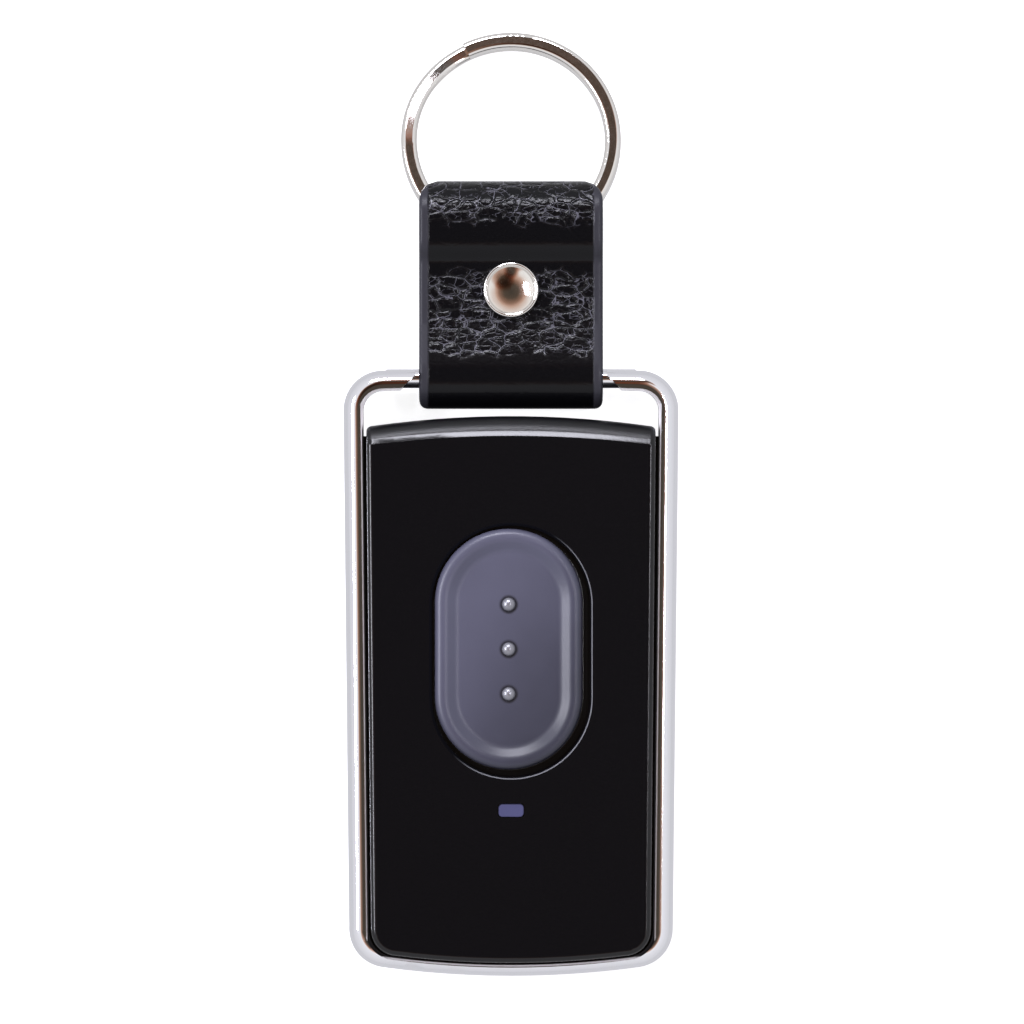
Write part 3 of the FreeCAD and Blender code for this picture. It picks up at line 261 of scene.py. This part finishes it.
def makeShell():
    shade = newShade("blackShell")
    grain = shade.noise(shell["grain"])
    side, along = shade.axis("X"), shade.axis("Y")
    # the rolled head starts with a smooth sloping strip, and past it the grain stands out
    past = along + side * side * (1.0 / shell["rollBow"]) - shell["rollAt"]
    roll = past.ramp(*shell["rollGrainFrom"])
    strip = past.atLeast(0.0).atMost(shell["stripWide"])
    drop = strip * shell["stripSlope"] - strip * strip * (0.5 / shell["rollRadius"])
    depth = roll * shell["rollGrain"] + shell["grainDepth"]
    height = (grain - 0.5) * depth - drop
    # a painted highlight: the edge of the button's opening is paler, at the right and the foot
    beyond = ((along - shell["openingY"]).size() - shell["openingStraight"]).atLeast(0.0)
    reach = (side * side + beyond * beyond).root() - shell["openingHalf"]
    paintedLight = reach.ramp(*shell["openingHighlightFrom"]) * reach.fade(*shell["openingHighlightTo"])
    lean = side - (along - shell["openingY"]) * shell["paintedLightLean"]
    paintedLight = paintedLight * lean.ramp(*shell["paintedLightSide"])
    return shade.finish(
        Base_Color=shade.mix(paintedLight, shell["colour"], shell["openingHighlightColour"]),
        Roughness=grain.around(shell["roughness"], shell["grainRoughness"]) + roll * shell["rollRoughness"],
        Specular_IOR_Level=shell["specular"],
        Normal=shade.bump(height, 1.0),
    )


button = {
    # from low to high is painted light, paler towards the upper left
    "low": (0.022, 0.023, 0.039, 1.0),
    "high": (0.122, 0.121, 0.180, 1.0),
    # painted shade for the skirt in the gap
    "skirtShadeColour": (0.003, 0.003, 0.004, 1.0),
    # painted shadow round the beads
    "beadShadowColour": (0.010, 0.010, 0.018, 1.0),
    "dot": (0.30, 0.30, 0.33, 1.0),
    "dotMetallic": 0.5,
    "roughness": 0.37,
    "dotRoughness": 0.30,
    "skirtRoughness": 0.12,
    "specular": 0.55,
    "grain": 0.35 * mm,
    "grainDepth": 0.002 * mm,
    "cloud": 7.0 * mm,
    "cloudShare": 0.3,
    "paintedLightLean": 0.8,
    "paintedLightSide": (-9.0 * mm, 14.0 * mm),
    "dotX": -0.25 * mm,
    "dotY": 4.38 * mm,
    "dotPitch": 4.85 * mm,
    "dotFoot": (11.95 * mm, 12.00 * mm),
    "dotEdge": (0.66 * mm, 0.76 * mm),
    "beadShadowEdge": (0.80 * mm, 1.15 * mm),
    "skirtTop": (10.6 * mm, 11.3 * mm),
}


def makeButton():
    shade = newShade("softButton")
    grain = shade.noise(button["grain"])
    cloud = shade.noise(button["cloud"])
    side, along, up = [shade.axis(name) for name in "XYZ"]
    # painted light: paler towards the upper left, mixed with a share of random mottle
    paintedLight = (along * button["paintedLightLean"] - side).ramp(*button["paintedLightSide"])
    paintedLight = paintedLight * (1.0 - button["cloudShare"]) + cloud * button["cloudShare"]
    # three silvered dots, painted shadow in the seats round them and painted shade on the skirt in the gap
    across = side - button["dotX"]
    apart = (along - button["dotY"]).size()
    apart = apart.atMost((apart - button["dotPitch"]).size())
    reach = (across * across + apart * apart).root()
    beadShadow = reach.fade(*button["beadShadowEdge"])
    dot = reach.fade(*button["dotEdge"]) * up.ramp(*button["dotFoot"])
    shadedSkirt = up.fade(*button["skirtTop"])
    tone = shade.mix(paintedLight, button["low"], button["high"])
    tone = shade.mix(beadShadow, tone, button["beadShadowColour"])
    tone = shade.mix(dot, tone, button["dot"])
    tone = shade.mix(shadedSkirt, tone, button["skirtShadeColour"])
    smoother = dot * (button["roughness"] - button["dotRoughness"])
    smoother = smoother + shadedSkirt * (button["roughness"] - button["skirtRoughness"])
    return shade.finish(
        Base_Color=tone,
        Metallic=dot * button["dotMetallic"],
        Roughness=button["roughness"] - smoother,
        Specular_IOR_Level=button["specular"],
        Normal=shade.bump(grain, button["grainDepth"]),
    )


window = {
    "colour": (0.098, 0.100, 0.215, 1.0),
    "roughness": 0.25,
    "cloudRoughness": 0.1,
    "cloud": 1.2 * mm,
    "coat": 0.4,
}


def makeWindow():
    shade = newShade("lightWindow")
    cloud = shade.noise(window["cloud"], 1.0)
    return shade.finish(
        Base_Color=window["colour"],
        Roughness=cloud.around(window["roughness"], window["cloudRoughness"]),
        Coat_Weight=window["coat"],
    )


leather = {
    "colour": (0.0035, 0.0035, 0.0045, 1.0),
    # painted highlights along the creases
    "glintColour": (0.16, 0.156, 0.185, 1.0),
    "edgeColour": (0.044, 0.043, 0.053, 1.0),
    "roughness": 0.20,
    "poreRoughness": 0.10,
    "edgeRoughness": 0.14,
    "specular": 0.20,
    "longCells": (1.10 * mm, (0.50, 0.95, 0.08), 0.6 * mm),
    "fineCells": (0.60 * mm, (0.60, 1.0, 0.08), 0.3 * mm),
    "bend": 2.2 * mm,
    "pores": 0.2 * mm,
    "patches": 1.1 * mm,
    "cellDepth": 0.17 * mm,
    "longSlope": (0.0, 0.17),
    "fineSlope": (0.0, 0.22),
    "longHeight": 0.38,
    "fineHeight": 0.07,
    "bendHeight": 0.14,
    "poreHeight": 0.015,
    "grainMiddle": 0.48,
    "smoothest": 0.07,
    "edgeAt": (8.85 * mm, 9.15 * mm),
    "edgeHeight": 0.35,
    "longLine": (0.003, 0.028),
    "longPatches": (0.36, 0.56),
    "fineLine": (0.006, 0.050),
    "finePatches": (0.48, 0.60),
    "fineShare": 0.6,
    "glintsFrom": (0.1, 0.9),
    "sway": 3.0 * mm,
    "foldFrom": (50.0 * mm, 51.6 * mm),
    "bellyFrom": (35.9 * mm, 37.3 * mm),
    "bellyTo": (44.4 * mm, 46.0 * mm),
}


def makeLeather():
    shade = newShade("blackLeather")
    edge = shade.axis("X").size().ramp(*leather["edgeAt"])
    bend = shade.noise(leather["bend"])
    pores = shade.noise(leather["pores"])
    patchy = shade.noise(leather["patches"])
    longCells = shade.cells(*leather["longCells"])
    fineCells = shade.cells(*leather["fineCells"])
    grain = longCells.ramp(*leather["longSlope"]) * leather["longHeight"]
    grain = grain + fineCells.ramp(*leather["fineSlope"]) * leather["fineHeight"]
    grain = grain + bend * leather["bendHeight"] + pores * leather["poreHeight"] - leather["grainMiddle"]
    # painted highlights: pale lines along the creases, which come and go
    paintedGlints = longCells.fade(*leather["longLine"]) * patchy.ramp(*leather["longPatches"])
    fineGlints = fineCells.fade(*leather["fineLine"]) * patchy.ramp(*leather["finePatches"])
    paintedGlints = paintedGlints.atLeast(fineGlints * leather["fineShare"])
    # pulled smooth above the rivet and at the foot, creased between
    along = shade.axis("Y") + (bend - 0.5) * leather["sway"]
    fold = along.ramp(*leather["foldFrom"])
    belly = along.ramp(*leather["bellyFrom"]) * along.fade(*leather["bellyTo"])
    creased = (fold + belly) * (1.0 - leather["smoothest"]) + leather["smoothest"]
    height = grain * creased * (1.0 - edge) + edge * leather["edgeHeight"]
    # the painted highlights show only where it is creased
    paintedGlints = paintedGlints * creased.ramp(*leather["glintsFrom"])
    tone = shade.mix(paintedGlints, leather["colour"], leather["glintColour"])
    shine = pores.around(leather["roughness"], leather["poreRoughness"])
    return shade.finish(
        Base_Color=shade.mix(edge, tone, leather["edgeColour"]),
        Roughness=shine + edge * leather["edgeRoughness"],
        Specular_IOR_Level=leather["specular"],
        Normal=shade.bump(height, leather["cellDepth"]),
    )


nickel = {
    "colour": (0.80, 0.775, 0.74, 1.0),
    "rub": 0.35 * mm,
    "rubRoughness": 0.08,
    "waveDepth": 0.01 * mm,
}


def makeNickel(name, wave, roughness):
    shade = newShade(name)
    rub = shade.noise(nickel["rub"], 3.0)
    waves = shade.noise(wave, 1.0)
    return shade.finish(
        Base_Color=nickel["colour"],
        Metallic=1.0,
        Roughness=rub.around(roughness, nickel["rubRoughness"]),
        Normal=shade.bump(waves, nickel["waveDepth"]),
    )


board = {
    "dark": (0.010, 0.075, 0.032, 1.0),
    "pale": (0.016, 0.105, 0.045, 1.0),
    "weave": 0.5 * mm,
    "roughness": 0.35,
    "coat": 0.3,
}


def makeBoard():
    shade = newShade("solderMask")
    tone = shade.mix(shade.noise(board["weave"]), board["dark"], board["pale"])
    return shade.finish(Base_Color=tone, Roughness=board["roughness"], Coat_Weight=board["coat"])


# small hidden pieces: an even colour with a little wear in the gloss
plain = {
    "wear": 0.6 * mm,
    "wearRoughness": 0.1,
}


def makePlain(name, colour, roughness, metallic=0.0):
    shade = newShade(name)
    wear = shade.noise(plain["wear"])
    return shade.finish(
        Base_Color=colour,
        Metallic=metallic,
        Roughness=wear.around(roughness, plain["wearRoughness"]),
    )


finishes = {
    "frame_surround": makeChrome(),
    "front_shell": makeShell(),
    "light_guide": makeWindow(),
    "circuit_board": makeBoard(),
    "split_ring": makeNickel("nickelRing", 5.0 * mm, 0.09),
    "rivet_cap": makeNickel("nickelCap", 1.6 * mm, 0.08),
    "switch_housing": makePlain("switchBlack", (0.02, 0.02, 0.02, 1.0), 0.5),
    "switch_plunger": makePlain("stemWhite", (0.62, 0.60, 0.55, 1.0), 0.45),
    "switch_cover": makePlain("springSteel", (0.62, 0.62, 0.63, 1.0), 0.3, 1.0),
    "led_chip": makePlain("lampClear", (0.75, 0.75, 0.68, 1.0), 0.2),
    "chip_capacitors": makePlain("ceramicBrown", (0.34, 0.25, 0.16, 1.0), 0.5),
    "antenna_coil": makePlain("enamelledCopper", (0.62, 0.24, 0.11, 1.0), 0.3, 1.0),
    "case_screws": makePlain("screwBlack", (0.03, 0.03, 0.032, 1.0), 0.4, 0.6),
}
sameAs = {
    "rear_shell": "front_shell",
    "rivet_post": "rivet_cap",
    "coin_cell": "switch_cover",
    "cell_contact": "switch_cover",
    "cell_clip": "switch_cover",
    "resonator_can": "switch_cover",
    "controller_chip": "switch_housing",
    "rf_transistor": "switch_housing",
    "chip_resistors": "switch_housing",
}


def dressNodes():
    # the strap and the button have no finish here, since pieces of their own replace them
    for name, node in nodes.items():
        material = finishes.get(sameAs.get(name, name))
        if material is None:
            continue
        for slot in node.material_slots:
            slot.material = material


dressNodes()
print("finishes made:", len(finishes))


# Pieces

def addObject(name, data):
    # a new object at the origin, with its place in its data
    thing = bpy.data.objects.new(name, data)
    bpy.context.scene.collection.objects.link(thing)
    return thing


def addMesh(name, work):
    # the finished bmesh as an object
    mesh = bpy.data.meshes.new(name)
    work.to_mesh(mesh)
    work.free()
    return addObject(name, mesh)


def smoothFaces(work):
    for face in work.faces:
        face.smooth = True


# Leather strap with softened, painted edges

strap = {
    "mergeReach": 0.002 * mm,
    "voxel": 0.17 * mm,
    "softenings": 7,
    "softenBy": 0.5,
}


def copyOf(name, label):
    piece = addObject(label, nodes[name].data.copy())
    piece.data.materials.clear()
    work = bmesh.new()
    work.from_mesh(piece.data)
    bmesh.ops.remove_doubles(work, verts=work.verts, dist=strap["mergeReach"])
    work.to_mesh(piece.data)
    work.free()
    return piece


def applyModifiers(piece):
    graph = bpy.context.evaluated_depsgraph_get()
    done = bpy.data.meshes.new_from_object(piece.evaluated_get(graph))
    piece.modifiers.clear()
    piece.data = done


def soften(piece):
    work = bmesh.new()
    work.from_mesh(piece.data)
    for _ in range(strap["softenings"]):
        bmesh.ops.smooth_vert(
            work, verts=work.verts, factor=strap["softenBy"],
            use_axis_x=True, use_axis_y=True, use_axis_z=True)
    bmesh.ops.recalc_face_normals(work, faces=work.faces)
    smoothFaces(work)
    work.to_mesh(piece.data)
    work.free()


def makeStrap():
    piece = copyOf("leather_strap", "leatherStrap")
    remesh = piece.modifiers.new("even skin", "REMESH")
    remesh.mode = "VOXEL"
    remesh.voxel_size = strap["voxel"]
    applyModifiers(piece)
    soften(piece)
    piece.data.materials.append(makeLeather())
    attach(piece, "strap")
    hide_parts("leather_strap")
    return piece


leatherStrap = makeStrap()
print("strap made:", len(leatherStrap.data.polygons), "faces")


# Soft button with a round rim, a dished floor and three beads

buttonForm = {
    "flangeReach": 1.1 * mm,
    "flangeThick": 0.8 * mm,
    "flangeRound": 0.1 * mm,
    "rimWide": 1.25 * mm,
    "rimRound": 0.9 * mm,
    "browRound": 0.30 * mm,
    "dish": 0.5 * mm,
    "slopeWide": 1.15 * mm,
    "floorRound": 0.35 * mm,
    "stepsInRound": 7,
    "stepsRoundEnd": 40,
    "mergeReach": 0.001 * mm,
    "beadRadius": 0.79 * mm,
    "beadTall": 0.62 * mm,
    "beadAround": 32,
    "beadUp": 16,
}


def roundedPath(corners):
    # corners are (out, up, length): each is rounded off over that length on both sides
    points = []
    for number, (out, up, length) in enumerate(corners):
        here = Vector((out, up))
        if length == 0.0:
            points.append(here)
            continue
        before = here + (Vector(corners[number - 1][:2]) - here).normalized() * length
        after = here + (Vector(corners[number + 1][:2]) - here).normalized() * length
        for step in range(buttonForm["stepsInRound"] + 1):
            share = step / buttonForm["stepsInRound"]
            points.append(before.lerp(here, share).lerp(here.lerp(after, share), share))
    return points


def edgesOf(geometry):
    return [item for item in geometry if isinstance(item, bmesh.types.BMEdge)]


def sweepRoundSlot(work, edges, centre, straight):
    # takes a profile round a half circle and down a straight side, twice
    for way in (1, -1):
        turned = bmesh.ops.spin(
            work, geom=edges, cent=(centre.x, centre.y + way * straight, 0.0), axis=(0.0, 0.0, 1.0),
            dvec=(0.0, 0.0, 0.0), angle=math.pi, steps=buttonForm["stepsRoundEnd"],
            use_merge=False, use_normal_flip=False, use_duplicate=False)
        drawn = bmesh.ops.extrude_edge_only(work, edges=edgesOf(turned["geom_last"]))["geom"]
        ends = [item for item in drawn if isinstance(item, bmesh.types.BMVert)]
        bmesh.ops.translate(work, verts=ends, vec=(0.0, -2.0 * way * straight, 0.0))
        edges = [edge for edge in edgesOf(drawn) if edge.verts[0] in ends and edge.verts[1] in ends]


def addBeads(work, floor):
    squash = Matrix.Diagonal((1.0, 1.0, buttonForm["beadTall"] / buttonForm["beadRadius"], 1.0))
    for step in (-1, 0, 1):
        place = Matrix.Translation((button["dotX"], button["dotY"] + step * button["dotPitch"], floor))
        bmesh.ops.create_uvsphere(
            work, u_segments=buttonForm["beadAround"], v_segments=buttonForm["beadUp"],
            radius=buttonForm["beadRadius"], matrix=place @ squash)


def makeButtonCap():
    low, high = [Vector(corner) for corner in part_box("button_cap")]
    centre = (low + high) / 2
    flange = (high.x - low.x) / 2
    wall = flange - buttonForm["flangeReach"]
    straight = (high.y - low.y) / 2 - flange
    shelf = low.z + buttonForm["flangeThick"]
    floor = high.z - buttonForm["dish"]
    brow = wall - buttonForm["rimWide"]
    profile = roundedPath([
        (flange, low.z, 0.0),
        (flange, shelf, buttonForm["flangeRound"]),
        (wall, shelf, buttonForm["flangeRound"]),
        (wall, high.z, buttonForm["rimRound"]),
        (brow, high.z, buttonForm["browRound"]),
        (brow - buttonForm["slopeWide"], floor, buttonForm["floorRound"]),
        (brow / 2, floor, 0.0),
    ])
    work = bmesh.new()
    corners = [work.verts.new((centre.x + out, centre.y + straight, up)) for out, up in profile]
    edges = [work.edges.new(pair) for pair in zip(corners, corners[1:])]
    sweepRoundSlot(work, edges, centre, straight)
    bmesh.ops.remove_doubles(work, verts=work.verts, dist=buttonForm["mergeReach"])
    # closes the floor and the underside
    bmesh.ops.holes_fill(work, edges=[edge for edge in work.edges if edge.is_boundary], sides=0)
    bmesh.ops.recalc_face_normals(work, faces=work.faces)
    addBeads(work, floor)
    smoothFaces(work)
    piece = addMesh("softButton", work)
    piece.data.materials.append(makeButton())
    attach(piece, "button")
    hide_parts("button_cap")
    return piece


softButton = makeButtonCap()
print("button made:", len(softButton.data.polygons), "faces")


# Table: greyer in reflections than for the camera

tabletop = {
    "size": 3.0,
    "under": 0.02 * mm,
    "paper": (0.86, 0.86, 0.865, 1.0),
    "mirrored": (0.70, 0.70, 0.73, 1.0),
    "glow": 0.86,
}


def makeTable():
    work = bmesh.new()
    bmesh.ops.create_grid(work, x_segments=1, y_segments=1, size=tabletop["size"] / 2)
    bmesh.ops.translate(work, verts=work.verts, vec=(0.0, 0.0, -tabletop["under"]))
    table = addMesh("table", work)
    shade = newShade("tableWhite")
    seen = shade.rays("Is Camera Ray", "Is Transmission Ray")
    mirrored = shade.rays("Is Glossy Ray")
    paper = shade.node("ShaderNodeBsdfDiffuse", None, {"Color": tabletop["paper"]})
    glow = shade.node("ShaderNodeEmission", None, {"Color": white, "Strength": tabletop["glow"]})
    grey = shade.node("ShaderNodeEmission", None, {"Color": tabletop["mirrored"], "Strength": 1.0})
    both = shade.node("ShaderNodeAddShader", None, {0: paper, 1: glow})
    mixed = shade.node("ShaderNodeMixShader", None, {0: seen, 1: paper, 2: both})
    mixed = shade.node("ShaderNodeMixShader", None, {0: mirrored, 1: mixed, 2: grey})
    shade.node("ShaderNodeOutputMaterial", None, {"Surface": mixed})
    table.data.materials.append(shade.block)


# World: even light, with pale walls and dark patches overhead that only polished pieces show

sky = {
    "level": 0.15,
    "lowest": 0.05,
    # stops of the walls' tone, from level to straight up
    "walls": [
        (0.0, (0.74, 0.74, 0.77, 1.0)),
        (0.50, (0.82, 0.82, 0.85, 1.0)),
        (0.84, (0.90, 0.90, 0.94, 1.0)),
        (0.93, white),
    ],
    # stops of a patch's tone, from its middle to past its warm fringe
    "fringe": [
        (0.0, (0.060, 0.050, 0.040, 1.0)),
        (0.30, (0.095, 0.070, 0.052, 1.0)),
        (0.48, (0.30, 0.17, 0.12, 1.0)),
        (0.62, (0.64, 0.42, 0.33, 1.0)),
        (0.82, white),
    ],
    # each round patch: degrees to the right of straight up, degrees ahead of it, degrees wide
    "patches": [
        (0.0, -1.0, 15.0),
        (0.0, 22.6, 6.5),
        (-9.0, 13.0, 9.0),
        (9.0, 33.0, 9.0),
    ],
}


def makeWorld():
    shade = Shade(bpy.data.worlds.new("studio"))
    bpy.context.scene.world = shade.block
    direction = shade.node("ShaderNodeTexCoord", output="Generated")
    side, ahead, up = [
        shade.node("ShaderNodeSeparateXYZ", None, {"Vector": direction}, output=name) for name in "XYZ"]
    tone = shade.node("ShaderNodeValToRGB", {"stops": sky["walls"]}, {"Fac": up})
    height = up.atLeast(sky["lowest"])
    for right, forward, wide in sky["patches"]:
        across = side / height - math.tan(math.radians(right))
        along = ahead / height - math.tan(math.radians(forward))
        reach = (across * across + along * along).root() * (0.5 / math.tan(math.radians(wide)))
        patch = shade.node("ShaderNodeValToRGB", {"stops": sky["fringe"]}, {"Fac": reach})
        tone = shade.mix(1.0, tone, patch, "MULTIPLY")
    seen = shade.rays("Is Camera Ray", "Is Glossy Ray", "Is Transmission Ray")
    shown = shade.node("ShaderNodeBackground", None, {"Color": tone, "Strength": 1.0})
    light = shade.node("ShaderNodeBackground", None, {"Color": white, "Strength": sky["level"]})
    mixed = shade.node("ShaderNodeMixShader", None, {0: seen, 1: light, 2: shown})
    shade.node("ShaderNodeOutputWorld", None, {"Surface": mixed})


# Lamps

lampStand = {
    "far": 0.9,
    "colour": (0.90, 0.90, 1.0),
    "target": (0.0, 20.0 * mm, 8.0 * mm),
}
# each lamp: way it stands (degrees from +X), lean off the upright, width, depth, watts
lamps = {
    "keyAhead": (98.0, 45.0, 0.40, 0.18, 5.2),
    "keyAside": (172.0, 45.0, 0.40, 0.14, 4.4),
    "edge": (12.0, 19.0, 0.22, 0.04, 0.9),
}


def hangLamp(name, way, lean, wide, deep, power):
    lamp = bpy.data.lights.new(name, "AREA")
    lamp.shape = "RECTANGLE"
    lamp.size = wide
    lamp.size_y = deep
    lamp.energy = power
    lamp.color = lampStand["colour"]
    way = math.radians(way)
    lean = math.radians(lean)
    direction = Vector((math.sin(lean) * math.cos(way), math.sin(lean) * math.sin(way), math.cos(lean)))
    thing = addObject(name, lamp)
    thing.location = Vector(lampStand["target"]) + direction * lampStand["far"]
    thing.rotation_euler = (-direction).to_track_quat("-Z", "Y").to_euler()


# Camera, straight above

view = {
    "centre": (0.11 * mm, 19.24 * mm),
    "height": 1.2,
    "focusHeight": 8.0 * mm,
    "pixelsPerMillimetre": 9.2,
    "pictureWidth": 1024,
    "sensor": 36.0,
    "clip": (0.05, 10.0),
}


def makeCamera():
    camera = bpy.data.cameras.new("camera")
    distance = view["height"] - view["focusHeight"]
    width = view["pictureWidth"] / view["pixelsPerMillimetre"] * mm
    camera.sensor_width = view["sensor"]
    camera.lens = view["sensor"] * distance / width
    camera.clip_start, camera.clip_end = view["clip"]
    thing = addObject("camera", camera)
    thing.location = (*view["centre"], view["height"])
    bpy.context.scene.camera = thing


makeTable()
makeWorld()
for name, values in lamps.items():
    hangLamp(name, *values)
makeCamera()
bpy.context.scene.view_settings.view_transform = "Standard"
print("studio ready")
